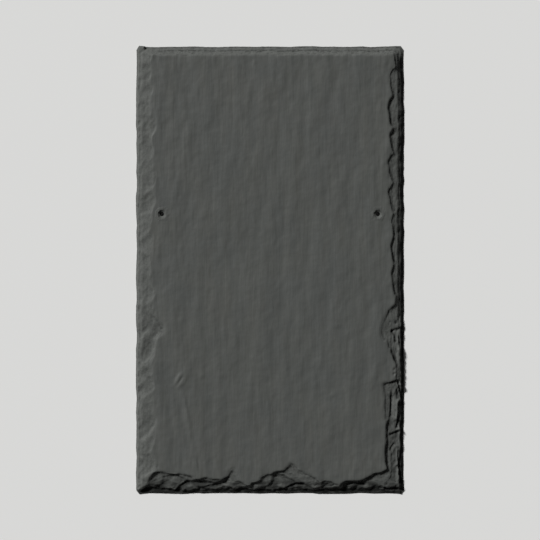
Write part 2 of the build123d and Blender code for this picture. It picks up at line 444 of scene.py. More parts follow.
@dataclass
class Stone:
    """The slate itself: its outline, its flaked edges and its riven face, as one closed surface.

    Attributes:
        node: the frame's node that it stands for.
        across: spacing of the grid's lines from side to side.
        along: spacing of its lines from tail to head.
        corner: how far each corner is broken back along both of its edges.
        blend: how far in from the edge the outline still shifts the grid.
        rag: how far the finest breaks reach in from the outline.
        sheet: thickness of the sheets that the broken edges part into.
        thin_sheet: thickness of the thinnest of them.
        tail_foot: how far the crumbled foot of the tail reaches in.
        side_foot: the same at the right side.
        foot_height: height that the foot rises to over that reach.
        brow: height of the brow that stands over the tail's foot.
        wall: height of the steep wall under the bevelled left side.
        ripple_turn: angle of the ridges on that side from the X axis, in degrees.
        wander: how far the places that the node is read at wander.
        hole_reach: how far round a nail hole the node's face is closed before the hole is cut.
        sunk: how far the face lies on average below its highest places.
        pit: depth of the pits in the foot.
        least: thickness of the stone at its thinnest.
        lip: height over or under what is round it at which a place is wholly a lip or wholly deep; lips are
            lightened as worn stone and as a painted highlight, deep places darkened as painted shade.
        lip_reach: how far what is round it reaches.
        low_shade: how strongly the lowest parts of the broken edges and the crumbled foot are darkened, as
            painted shade.
        low_shade_depths: depths below the face between which that painted shade comes in.
        tail_patch_fade: how far from the tail the darker patches of painted shade start to end, and where
            they end.
        head_shade_fade: how far from the head the painted shade starts, and where all of it is there.
        darkest_tail_place: middle across and reach of the darkest place of painted shade on the tail.
        tail_flakes: ledges and hollows of single flakes along the tail.
        right_flakes: the same along the right side.
        left_flakes: the same on the bevelled left side.
        marks: the marks on the face.
    """

    node: str
    across: Spacing = Spacing(mm(26.0, 27.0), mm(0.95, 0.62), mm(51.5, 7.0, 0.62))
    along: Spacing = Spacing(mm(37.0, 12.0), mm(0.62, 0.9), mm(129.0, 9.0, 0.62))
    corner: float = 2.0 * MM
    blend: float = 16.0 * MM
    rag: float = 0.5 * MM
    sheet: float = 1.3 * MM
    thin_sheet: float = 0.42 * MM
    tail_foot: float = 7.4 * MM
    side_foot: float = 4.3 * MM
    foot_height: float = 6.8 * MM
    brow: float = 0.7 * MM
    wall: float = 4.1 * MM
    ripple_turn: float = 52.0
    wander: float = 1.0 * MM
    hole_reach: float = 9.0 * MM
    sunk: float = 0.85 * MM
    pit: float = 2.4 * MM
    least: float = 0.9 * MM
    lip: float = 0.4 * MM
    lip_reach: float = 0.85 * MM
    low_shade: float = 0.9
    low_shade_depths: tuple = mm(4.5, 7.5)
    tail_patch_fade: tuple = mm(11.0, 22.0)
    head_shade_fade: tuple = mm(8.0, 16.0)
    darkest_tail_place: tuple = mm(95.0, 14.0)
    marks: tuple = (
        Mark(SCAB, -101.5, 129.5, 14, 4.2, 57, 0.9),
        Mark(SCAB, -97, 126.5, 15, 4.4, 55, 1),
        Mark(SCAB, -93.8, 136, 7, 4.4, 60, 0.8),
        Mark(SCAB, -99, 128, 10, 3.4, 56, -0.7),
        Mark(SCAB, -75, 133, 6, 4.5, 60, 0.5),
        Mark(LEDGE, -87, 70, 96, 18, 100, 0.5),
        Mark(CRACK, 87, 163, 29, 3.2, 88, -0.55),
        Mark(SCAB, 69, 111, 8, 4.5, 50, 0.5),
        Mark(SCAB, 45, 58, 9, 4, 70, 0.5),
        Mark(LEDGE, 73, 187, 10, 9, 5, 0.5),
        Mark(SCAB, 138.5, 139.5, 4, 3.4, 40, -1),
        Mark(SCAB, 138, 134.5, 3.4, 3, 80, -1),
        Mark(SCAB, 141.5, 196, 5, 4, 60, -1.3),
        Mark(SCAB, 141.5, 190.5, 4.6, 4, 20, -1.3),
    )
    tail_flakes: tuple = (
        Mark(SCAB, -119, 9, 18, 14, 30, -1.6),
        Mark(SCAB, -136, 4.5, 18, 8, 8, -2.2),
        Mark(LEDGE, -98, 7.5, 26, 18, 224, -1.8, -3.5),
        Mark(LEDGE, 25, 7.5, 32, 13, 202, -1.9, -3.5),
        Mark(LEDGE, -66, 9, 34, 13, 194, -1, -1.5),
        Mark(SCAB, 82, 5, 9, 5, 40, -2),
        Mark(SCAB, 91, 10.5, 9, 4.5, 10, 0.9),
        Mark(SCAB, 95, 5.5, 7, 4.5, 50, -2.2),
        Mark(SCAB, 100.5, 5, 7, 5, 30, 0.9),
        Mark(SCAB, 103, 11.5, 9, 4, -20, -1.6),
        Mark(SCAB, 107, 8, 9, 6, 60, 1.2),
        Mark(SCAB, 116, 6, 11, 6, 45, -2.2),
        Mark(SCAB, 68, 8, 12, 5, 15, 1),
    )
    right_flakes: tuple = (
        Mark(LEDGE, 143.8, 110, 38, 9, -80, -2.4, 1),
        Mark(LEDGE, 140.3, 80, 15, 7, -97, -1.4, 1.2),
        Mark(LEDGE, 143.8, 32, 46, 7, -86, -1.8, -1.2),
        Mark(LEDGE, 133.3, 101, 34, 9, -93, -1.2, 0.4),
        Mark(LEDGE, 136, 176, 16, 10, -70, -1, 1.5),
        Mark(LEDGE, 143, 165, 26, 7, -84, -1.4, 1),
        Mark(SCAB, 140, 192, 5, 4.5, 0, -1.3),
        Mark(SCAB, 139.5, 166, 7, 5, 60, 0.8),
        Mark(SCAB, 138, 136, 9, 4, 80, -0.8),
        Mark(LEDGE, 136.5, 53, 12, 9, 240, -1, -2.5),
        Mark(LEDGE, 140.5, 69.5, 19, 8, 193, -1.6, -0.6),
        Mark(LEDGE, 140.5, 184.5, 15, 8, 195, -1.3, -0.5),
        Mark(LEDGE, 146.3, 141, 56, 13, 91, 2.7, 0.5),
        Mark(LEDGE, 143.2, 94, 26, 11, 84, 1.9, 1),
        Mark(LEDGE, 145.8, 113, 24, 11, 90, 1.9, -0.6),
        Mark(LEDGE, 146.2, 178, 44, 10, 90, 1.8, 0.5),
        Mark(LEDGE, 145, 14, 34, 10, 94, 2, 1),
        Mark(LEDGE, 142.8, 41, 22, 10, 85, 1.7, -1.2),
        Mark(LEDGE, 145.8, 61, 32, 10, 92, 2, 0.8),
    )
    left_flakes: tuple = (
        Mark(LEDGE, -140, 179, 15, 12, 45, -0.6),
        Mark(LEDGE, -146, 178, 10, 12, -56, -0.6),
        Mark(LEDGE, -124.5, 175, 30, 22, 56, -0.6, 3),
        Mark(LEDGE, -134.5, 158, 28, 22, 62, -0.7, -2.5),
        Mark(SCAB, -139.5, 143.5, 10, 4, -40, 0.6),
        Mark(SCAB, -133, 129, 6, 4.5, 40, -0.7),
        Mark(SCAB, -144, 117, 7, 4.5, 60, -0.7),
        Mark(LEDGE, -144, 106, 20, 16, 67, -0.5),
        Mark(LEDGE, -135, 73.5, 38, 30, 55, -1.1, -3),
        Mark(SCAB, -143, 43, 9, 4.5, 10, -0.6),
        Mark(LEDGE, -140, 25, 26, 20, 97, -0.7, -1),
    )

    def build(self) -> bpy.types.Object:
        """Works the surface out and makes it one closed mesh.

        The upper surface covers the grid, with cells twice as large between the bands. The bed
        covers the same grid with cells that double three times inwards from the rim. Both use the
        rim's own points, so the surface is closed.

        Returns:
            The slate as one object, with four shares as point attributes: what is broken, what lies
            deep, what is darkened as painted shade, and what is a worn lip with a painted highlight.
        """
        grid = self.grid()
        z, broken = self.upper_heights(grid)
        columns, rows = z.shape
        whole = (0, columns - 1, 0, rows - 1)
        middle = ()
        past_band = 4.0 * MM
        for lines, spacing in ((grid.across, self.across), (grid.along, self.along)):
            first, last = (2 * int(np.searchsorted(lines, band + past_band) // 2) for band in spacing.bands)
            middle += (first, len(lines) - 1 - last)
        upper = cells_between(whole, middle, 1, rows, False) + cells_between(middle, (), 2, rows, True)
        rings = [tuple(line + (inset if k % 2 == 0 else -inset) for k, line in enumerate(whole))
                 for inset in (0, *BED_CELLS[1:])]
        bed = []
        for outer, inner, step in zip(rings, [*rings[1:], ()], BED_CELLS):
            bed += cells_between(outer, inner, step, rows, step > 1)

        inside = np.zeros(z.shape, bool)
        inside[1:-1, 1:-1] = True
        number = np.arange(z.size).reshape(z.shape)
        bed_number = np.where(inside, number + z.size, number).ravel()
        points = np.concatenate([np.stack([grid.x.ravel(), grid.y.ravel(), height.ravel()], axis=1)
                                 for height in (z, self.bed_heights(grid))])
        blocks = upper + [bed_number[cells][:, ::-1] for cells in bed]
        kept, renumbered = np.unique(np.concatenate([cells.ravel() for cells in blocks]),
                                     return_inverse=True)
        cuts = np.cumsum([cells.size for cells in blocks])[:-1]
        faces = [face for cells, numbers in zip(blocks, np.split(renumbered.ravel(), cuts))
                 for face in numbers.reshape(cells.shape).tolist()]
        stone = new_piece("riven_slate", points[kept], faces)
        on_rim = np.concatenate([~inside.ravel(), np.zeros(z.size, bool)])
        walls = np.concatenate([on_rim[cells].any(axis=1) for cells in blocks])
        stone.data.polygons.foreach_set("use_smooth", ~walls)
        for name, share in zip(SHARES, (broken, *self.painted_shade_and_wear(grid, z))):
            layer = stone.data.attributes.new(name, "FLOAT", "POINT")
            layer.data.foreach_set("value", np.concatenate([share.ravel(), np.zeros(z.size)])[kept])
        return stone

    def grid(self) -> Grid:
        """Makes the grid, with close lines at the edges and at the largest mark.

        Returns:
            The grid, whose border follows the broken outline of the frame's node.
        """
        low, high = (np.array(corner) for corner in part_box(self.node))
        across, along = self.across.lines(high[0] - low[0]), self.along.lines(high[1] - low[1])
        u, v = np.meshgrid(across, along, indexing="ij")
        return Grid(across, along, u, v, *self.to_outline(u, v, low, high), high - low)

    def painted_shade_and_wear(self, grid: Grid, z: Array) -> tuple:
        """Where the stone lies deep, where shade is painted on it, and where it is a worn lip with a
        painted highlight.

        A place is deep or a lip by how far it lies under or over the mean height round it. Shade is painted
        on steep steps, low down, on the crumbled foot, and in darker patches along the tail, where noise is
        above a level or a bell of X is high.

        Args:
            grid: the places.
            z: their heights.

        Returns:
            The three shares, each from 0 to 1.
        """
        _, length, top = grid.size
        z = from_inside(z)
        around = grid.softened(z, self.lip_reach)
        edges = 1.0 - self.bevel_share(grid)
        # Deep places are later darkened as painted shade; lips over what is round them are lightened as
        # worn stone and as a painted highlight.
        deep = (0.2 + 0.8 * edges) * np.clip((around - z) / self.lip, 0.0, 1.0)
        worn_and_highlit = (1.0 - 0.6 * edges) * np.clip((z - around) / self.lip, 0.0, 1.0)

        # Painted shade, where shade falls: on steep steps, low down and on the crumbled foot, thinned a
        # little by noise.
        rise = [np.gradient(z, axis=axis) / np.gradient(place, axis=axis)
                for axis, place in enumerate((grid.x, grid.y))]
        steep = smoothstep(0.55, 1.7, np.hypot(*rise))
        low_down = smoothstep(*self.low_shade_depths, top - z)
        crumbled = 1.0 - smoothstep(0.7, 0.95, self.foot_shares(grid))
        thinned = 0.4 * smoothstep(0.0, 0.5, grid.noise(8.0, 5.0, 3, Seed.SHADE_THINNING))
        shade_strength = self.low_shade * (1.0 - thinned)
        painted_shade = np.maximum(0.85 * steep, shade_strength * np.maximum(low_down, crumbled))
        # More painted shade in darker patches along the tail and round its darkest place; none on the lit
        # left bevel or near the head.
        middle, reach = self.darkest_tail_place
        patches = smoothstep(-0.3, 0.15, grid.noise(22.0, 7.0, 3, Seed.SHADE_PATCHES))
        patches = np.maximum(0.62 * patches, 0.8 * np.exp(-(((grid.x - middle) / reach) ** 2)))
        painted_shade = np.maximum(painted_shade, patches * (1.0 - smoothstep(*self.tail_patch_fade, grid.v)))
        painted_shade *= edges * smoothstep(*self.head_shade_fade, length - grid.v)
        return deep, painted_shade, worn_and_highlit

    def to_outline(self, u: Array, v: Array, low: Array, high: Array) -> tuple:
        """Shifts the even grid so that its border follows the broken outline of the frame's node.

        Each edge has a shift for every place along it: a little towards the middle, so that the
        corners are broken off, and inward by the outline's own inset and a fine rag. The shifts of
        the edges fade inwards, are added up, and where two edges meet their common part is taken
        off once, as in a Coons patch.

        Args:
            u: places across the slate from its left side.
            v: places along the slate from its tail.
            low: lowest corner of the node.
            high: highest corner of the node.

        Returns:
            The places of the grid's points in X and in Y.
        """
        corners = mesh_points(frame["nodes"][self.node].data)
        bed = corners[corners[:, 2] < 0.01 * MM]
        place = (u + low[0], v + low[1])
        shift = {}
        weight = {}
        for number, side in enumerate(Side):
            axis, is_high = side.value
            other = 1 - axis
            edge = high[other] if is_high else low[other]
            sign = -1.0 if is_high else 1.0
            inset = sign * (bed[:, other] - edge)
            near = inset < 3.0 * self.corner
            order = np.argsort(bed[near, axis])
            half = 0.5 * (high[axis] - low[axis])
            drawn_in = place[axis] * (1.0 - self.corner / half)
            ragged = fractal(drawn_in, 0.0 * drawn_in, (3.5 * MM, MM), 3, Seed.RAG + number)
            rag = self.rag * (0.5 + 0.5 * ragged)
            inward = np.interp(drawn_in, bed[near, axis][order], inset[near][order]) + rag
            both = [None, None]
            both[axis] = drawn_in - place[axis]
            both[other] = sign * inward
            shift[side] = both
            distance = sign * (place[other] - edge)
            weight[side] = 1.0 - smoothstep(0.0, self.blend, distance)
        moved = []
        for axis in (0, 1):
            total = place[axis].copy()
            for side in Side:
                total += weight[side] * shift[side][axis]
            for end, column in ((Side.TAIL, 0), (Side.HEAD, -1)):
                for flank, row in ((Side.LEFT, 0), (Side.RIGHT, -1)):
                    meeting = 0.5 * (shift[end][axis][row, column] + shift[flank][axis][row, column])
                    total -= weight[end] * weight[flank] * meeting
            moved.append(np.clip(total, low[axis], high[axis]))
        return moved[0], moved[1]

    def node_heights(self, x: Array, y: Array, top: float) -> Array:
        """Height of the frame's node under each place, found by dropping points onto it.

        Args:
            x: places in X.
            y: places in Y.
            top: a height that is above the whole node.

        Returns:
            The heights, which are 0 where there is no stone.
        """
        start = np.stack([x.ravel(), y.ravel(), np.full(x.size, top)], axis=1)
        probe = new_piece("probe", start, [])
        drop = probe.modifiers.new("drop", "SHRINKWRAP")
        drop.wrap_method = "PROJECT"
        drop.use_project_z = True
        drop.use_negative_direction = True
        drop.use_positive_direction = False
        drop.target = frame["nodes"][self.node]
        dropped = probe.evaluated_get(bpy.context.evaluated_depsgraph_get())
        z = mesh_points(dropped.data)[:, 2].reshape(x.shape)
        mesh = probe.data
        bpy.data.objects.remove(probe)
        bpy.data.meshes.remove(mesh)
        return np.where(z > top - 0.5 * MM, 0.0, z)

    def upper_heights(self, grid: Grid) -> tuple:
        """Heights of the face, the flaked edges and the sides.

        What lies below the face is broken stone, and the rest gets the face's relief. Both stay over
        the stone's least thickness, which rises twice as fast as the way in from the rim.

        Args:
            grid: the places.

        Returns:
            The heights, and the share to which each place is broken stone.
        """
        seeds = ((Seed.WANDER_ACROSS, Seed.FINE_ACROSS), (Seed.WANDER_ALONG, Seed.FINE_ALONG))
        wander = [self.wander * grid.noise(8.0, 8.0, 3, seed) + 0.35 * MM * grid.noise(1.9, 1.9, 1, fine)
                  for seed, fine in seeds]
        z = self.carved_heights(grid, wander)
        top = grid.size[2]
        broken = smoothstep(*mm(0.12, 0.7), top - z)
        z_broken = self.broken_heights(grid, wander, z)
        z = z + broken * (z_broken - z) + (1.0 - broken) * self.face_relief(grid)
        rim = grid.rim()
        z = np.clip(z, np.minimum(2.0 * rim, self.least), top)
        return np.where(rim <= 0.0, 0.0, z), broken

    def carved_heights(self, grid: Grid, wander: list) -> Array:
        """Heights of the node, with ragged ledges, a steep left side and crumbled feet.

        The node is read at places that wander, which makes its straight ledges ragged. They are rounded
        off a little and deepened. The left side keeps its wall, and the tail and the right side end
        in a foot with pits.

        Args:
            grid: the places.
            wander: how far each wanders in X and in Y.

        Returns:
            The heights.
        """
        x, y, top = grid.x, grid.y, grid.size[2]
        free = smoothstep(*mm(0.5, 4.0), grid.rim())
        z = self.node_heights(x + free * wander[0], y + free * wander[1], top + 10.0 * MM)
        for hole in nail_places():
            near = np.hypot(x - hole.x, y - hole.y) < self.hole_reach
            z = np.where(near, np.maximum(z, top), z)
        z = from_inside(z)

        bevel = self.bevel_share(grid)
        z += 0.4 * bevel * (z - grid.softened(z, 6.0 * MM))
        z = 0.7 * grid.softened(z, 0.5 * MM) + 0.3 * grid.softened(z, 1.6 * MM)
        deepened = 0.35 * (1.0 - bevel) * (1.0 - smoothstep(*mm(3.5, 7.0), top - z))
        z = top - (1.0 + deepened) * (top - z)
        z = np.maximum(z, self.left_wall(grid))
        heights = (0.3 * MM, 0.4 * self.foot_height, self.foot_height, top)
        foot = np.interp(self.foot_shares(grid), (0.0, 0.7, 1.0, 1.6), heights)
        return np.minimum(z, foot) - self.pit_depths(grid)

    def broken_heights(self, grid: Grid, wander: list, z: Array) -> Array:
        """Heights of broken stone: the carved ones parted into sheets and thin sheets, with lumps and grit.

        The bevelled left side has ripples and hardly any sheets. A brow stands over the tail's foot, and
        single flakes are added last.

        Args:
            grid: the places.
            wander: how far each wanders in X and in Y.
            z: the carved heights.

        Returns:
            The heights.
        """
        depth = grid.size[2] - z
        bevel = self.bevel_share(grid)
        steep_foot = smoothstep(*mm(3.4, 6.0), depth) * (1.0 - bevel)
        slope = z + (0.5 + 0.9 * steep_foot) * MM * grid.noise(13.0, 9.0, 3, Seed.SLOPE)
        slope += 0.3 * MM * grid.noise(3.3, 3.3, 1, Seed.SMALL_LUMPS)
        sheets = split_sheets(slope, self.sheet, 0.22) - slope
        finer = slope + 0.3 * MM * grid.noise(6.0, 6.0, 1, Seed.THIN_SHEETS)
        thin = split_sheets(finer, self.thin_sheet, 0.35) - finer
        parted = 0.25 * sheets + 0.25 * thin
        grit = 0.1 * MM * grid.noise(2.4, 2.4, 2, Seed.GRIT)
        lumps = 0.9 * MM * grid.noise(10.0, 12.0, 3, Seed.LUMPS)
        z_broken = z + (1.0 - 0.85 * bevel) * parted + grit + lumps
        z_broken += bevel * self.bevel_ripples(grid)
        z_broken -= self.sunk * (1.0 - smoothstep(*mm(1.0, 5.0), depth))
        shares = self.foot_shares(grid)
        brow = smoothstep(0.85, 1.0, shares) * (1.0 - smoothstep(1.1, 2.2, shares))
        z_broken += self.brow * brow * (1.0 - smoothstep(*mm(9.0, 14.0), grid.v))
        for flake in (*self.tail_flakes, *self.right_flakes, *self.left_flakes):
            z_broken += flake.relief(grid.x + wander[0], grid.v + wander[1])
        return z_broken

    def left_wall(self, grid: Grid) -> Array:
        """Least height of the left side: twice the way in up to an uneven brink, then rising slowly."""
        brink = self.wall * (1.0 + 0.4 * fractal(grid.y, 0.0 * grid.y, (13.0 * MM, MM), 3, Seed.WALL))
        return np.where(grid.u < 9.0 * MM, np.minimum(2.0 * grid.u, brink + 0.2 * grid.u), 0.0)

    def bevel_share(self, grid: Grid) -> Array:
        """Share of the bevelled left side, fading at its inner edge and on a slant from the corner."""
        inner = 1.0 - smoothstep(*mm(20.0, 27.0), grid.u)
        return inner * smoothstep(*mm(-1.5, 1.5), grid.v - 0.8 * grid.u)

    def foot_shares(self, grid: Grid) -> Array:
        """How far each place is up the crumbled foot of the tail or of the right side.

        It is the way in from the rim, divided by a reach that noise makes ragged, and the less of
        the two where both feet meet.

        Args:
            grid: the places.

        Returns:
            The share, which is 1 where the foot ends and more further in.
        """
        tail = self.tail_foot * (1.0 + grid.noise(14.0, 16.0, 4, Seed.TAIL_FOOT))
        side = self.side_foot * (1.0 + 1.1 * grid.noise(16.0, 20.0, 4, Seed.SIDE_FOOT))
        return np.minimum(grid.v / tail, (grid.size[0] - grid.u) / side)

    def pit_depths(self, grid: Grid) -> Array:
        """Pits between the lumps of the crumbled foot, deepest where the tail nears its right end.

        They are noise cut off at a level, faded out above the foot.

        Args:
            grid: the places.

        Returns:
            The depth at each place.
        """
        near = 1.0 - smoothstep(*mm(8.0, 16.0), grid.v)
        near *= 0.35 + 0.65 * smoothstep(0.0, 60.0 * MM, grid.x)
        pits = grid.noise(11.0, 6.5, 3, Seed.PITS)
        return self.pit * near * smoothstep(0.0, 0.55, pits)

    def bevel_ripples(self, grid: Grid) -> Array:
        """Ridges down and outward over the bevel: noise in long cells, folded so that its zeros crest."""
        run, cross = turned(grid.x, grid.y, self.ripple_turn)
        return -1.0 * MM * np.abs(fractal(run, cross, mm(26.0, 12.0), 3, Seed.RIPPLES))

    def face_relief(self, grid: Grid) -> Array:
        """The riven grain of the face and its marks, all below the highest plane of the face.

        The grain is noise with cells many times longer along the slate than across it, on lines
        that draw together a little towards the tail, over a low swell of the whole face.

        Args:
            grid: the places.

        Returns:
            The lift, at most nothing.
        """
        x, v = grid.x, grid.v
        fan = x / (1.0 + 0.55 * (v - 0.1))
        bend = fan + 2.2 * MM * fractal(x, v, mm(38.0, 46.0), 1, Seed.BEND)
        swell = 0.5 * MM * fractal(x, v, mm(60.0, 110.0), 2, Seed.SWELL)
        grain = 0.88 * MM * fractal(bend, v, mm(18.0, 80.0), 3, Seed.GRAIN)
        patches = 0.34 * MM * fractal(x, v, mm(10.0, 17.0), 2, Seed.PATCHES)
        lift = swell + grain + patches
        for mark in self.marks:
            lift += mark.relief(x, v)
        return np.minimum(lift - self.sunk, 0.0)

    def bed_heights(self, grid: Grid) -> Array:
        """Heights of the bed: a low riven relief over the bed's plane, which fades out at the rim."""
        swell = grid.noise(60.0, 110.0, 2, Seed.BED_SWELL) + 0.5 * grid.noise(11.0, 80.0, 2, Seed.BED_GRAIN)
        return 0.3 * MM * smoothstep(0.0, 12.0 * MM, grid.rim()) * np.maximum(0.4 + swell, 0.0)


def nail_mount() -> dict:
    """The frame's own mount for the nails."""
    return next(mount for mount in frame["record"]["mounts"] if mount["kind"] == "bolt_pattern")


def nail_places() -> list:
    """The middles of the nail holes on the bed."""
    middle = Vector(nail_mount()["pos_m"])
    half = 0.5 * MM * nail_mount()["dims"]["spacing_x_mm"]
    return [middle + Vector((sign * half, 0.0, 0.0)) for sign in (-1.0, 1.0)]


@dataclass
class NailHoles:
    """The two nail holes, punched from the bed so that a ragged spall breaks off round them on the face.

    Attributes:
        spall: radius of the spall at the face.
        depth: depth of the spall.
        over: how far the cutting body stands out of the slate, above and below.
        turns: points round a hole.
        rings: rings down a hole.
    """

    spall: float = 6.0 * MM
    depth: float = 2.6 * MM
    over: float = 2.0 * MM
    turns: int = 60
    rings: int = 28

    def cutter(self, place: Vector, top: float, seed: int) -> bpy.types.Object:
        """Makes the closed body that a hole takes out.

        It is a surface of angle and height. Its radius is the hole's, and over the spall's depth it
        grows to the spall's radius along a curve. It is parted into sheets, and wavers with the angle.

        Args:
            place: the hole's middle on the bed.
            top: height of the face.
            seed: which waver it has.

        Returns:
            The cutting body.
        """
        hole = MM * nail_mount()["dims"]["hole_r_mm"]
        angle = np.linspace(0.0, 2.0 * math.pi, self.turns, endpoint=False)
        height = np.concatenate([
            [-self.over], np.linspace(0.0, top - self.depth, self.rings // 3),
            np.linspace(top - self.depth, top, self.rings)[1:], [top + self.over],
        ])
        turn, level = np.meshgrid(angle, height)
        round_x, round_y = np.cos(turn), np.sin(turn)
        waver = fractal(round_x + 7.0 * seed, round_y, (0.8, 0.8), 3, Seed.NAILS + seed)
        open_share = np.clip((level - (top - self.depth)) / self.depth, 0.0, 1.0)
        opened = split_sheets(open_share + 0.25 * waver * open_share, 0.28, 0.5)
        opened = np.clip(0.55 * opened + 0.45 * open_share, 0.0, 1.25)
        radius = hole * (1.0 + 0.03 * waver) + (self.spall - hole) * opened * (1.0 + 0.22 * waver)
        points = np.stack([place.x + radius * round_x, place.y + radius * round_y, level], axis=-1)
        rings = len(height)
        number = np.arange(rings * self.turns).reshape(rings, self.turns)
        after = np.roll(number, -1, axis=1)
        wall = np.stack([number[:-1], after[:-1], after[1:], number[1:]], axis=-1).reshape(-1, 4)
        faces = wall.tolist() + [number[0][::-1].tolist(), number[-1].tolist()]
        return new_piece("nail_cutter", points.reshape(-1, 3), faces)

    def cut(self, stone: bpy.types.Object) -> None:
        """Takes both holes out of the stone and marks their walls as broken.

        Args:
            stone: the slate, whose mesh is replaced.
        """
        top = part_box("slate")[1].z
        cutters = [self.cutter(place, top, seed) for seed, place in enumerate(nail_places())]
        for cutter in cutters:
            taken = stone.modifiers.new(cutter.name, "BOOLEAN")
            taken.operation = "DIFFERENCE"
            taken.solver = "MANIFOLD"
            taken.object = cutter
        shape = stone.evaluated_get(bpy.context.evaluated_depsgraph_get())
        mesh = bpy.data.meshes.new_from_object(shape)
        stone.modifiers.clear()
        old = stone.data
        stone.data = mesh
        bpy.data.meshes.remove(old)
        mesh.name = stone.name
        for cutter in cutters:
            bpy.data.objects.remove(cutter)
        at = mesh_points(mesh)
        layer = mesh.attributes["broken"]
        broken = np.empty(len(at))
        layer.data.foreach_get("value", broken)
        for place in nail_places():
            away = np.hypot(at[:, 0] - place.x, at[:, 1] - place.y)
            inside = (away < 1.25 * self.spall) & (at[:, 2] < top - 0.4 * MM)
            broken = np.where(inside, 1.0, broken)
        layer.data.foreach_set("value", broken)


class Graph:
    """A node tree being built, with short calls that add nodes and join sockets."""

    def __init__(self, tree: bpy.types.NodeTree) -> None:
        """Starts on an empty tree."""
        self.tree = tree
        self.tree.nodes.clear()

    def add(self, kind: str, values: dict | None = None, **settings: object) -> bpy.types.Node:
        """Adds one node.

        Args:
            kind: the node's type, without its ShaderNode prefix.
            values: what its input sockets hold or are joined to, by name or number.
            settings: its own settings.

        Returns:
            The node.
        """
        node = self.tree.nodes.new(kind if kind.startswith("Node") else "ShaderNode" + kind)
        for name, value in settings.items():
            setattr(node, name, value)
        for name, value in (values or {}).items():
            if isinstance(value, Socket):
                self.tree.links.new(value, node.inputs[name])
            else:
                node.inputs[name].default_value = value
        return node

    def math(self, operation: str, *terms: object) -> Socket:
        """Adds a Math node and returns its result."""
        return self.add("Math", dict(enumerate(terms)), operation=operation).outputs[0]

    def total(self, *terms: tuple) -> Socket:
        """Adds values up, each times its own weight, and returns the sum."""
        parts = [self.math("MULTIPLY", value, weight) for value, weight in terms]
        return reduce(lambda first, second: self.math("ADD", first, second), parts)

    def mix(self, share: object, first: object, second: object, blend: str = "MIX") -> Socket:
        """Adds a colour Mix node and returns its result."""
        node = self.add("Mix", {0: share, 6: first, 7: second}, data_type="RGBA", blend_type=blend)
        return node.outputs[2]

    def dim(self, colour: object, tone: Socket) -> Socket:
        """Multiplies a colour by one value and returns the result."""
        grey = self.add("CombineColor", {0: tone, 1: tone, 2: tone}).outputs[0]
        return self.mix(1.0, colour, grey, "MULTIPLY")

    def remap(self, value: object, *ends: float) -> Socket:
        """Adds a clamped Map Range, from the first two ends to the last two, and returns its result."""
        return self.add("MapRange", {0: value, **dict(enumerate(ends, 1))}).outputs[0]


def stone_noise_group() -> bpy.types.NodeTree:
    """Builds the noise of stone as a group.

    It is noise on a place divided by a width in X, a length in Y and a depth in Z, in millimetres.

    Returns:
        The group, whose output is the noise's value from 0 to 1.
    """
    tree = bpy.data.node_groups.new("stone_noise", "ShaderNodeTree")
    graph = Graph(tree)
    tree.interface.new_socket("Vector", in_out="INPUT", socket_type="NodeSocketVector")
    sizes, kind = ("Width", "Length", "Depth"), ("Detail", "Roughness", "Distortion")
    for label in (*sizes, *kind):
        tree.interface.new_socket(label, in_out="INPUT", socket_type="NodeSocketFloat")
    tree.interface.new_socket("Value", in_out="OUTPUT", socket_type="NodeSocketFloat")
    given = graph.add("NodeGroupInput").outputs
    parts = {i: graph.math("DIVIDE", 1.0 / MM, given[label]) for i, label in enumerate(sizes)}
    scale = graph.add("CombineXYZ", parts).outputs[0]
    place = graph.add("VectorMath", {0: given["Vector"], 1: scale}, operation="MULTIPLY").outputs[0]
    values = {"Vector": place, "Scale": 1.0, **{label: given[label] for label in kind}}
    graph.add("NodeGroupOutput", {"Value": graph.add("TexNoise", values).outputs[0]})
    return tree


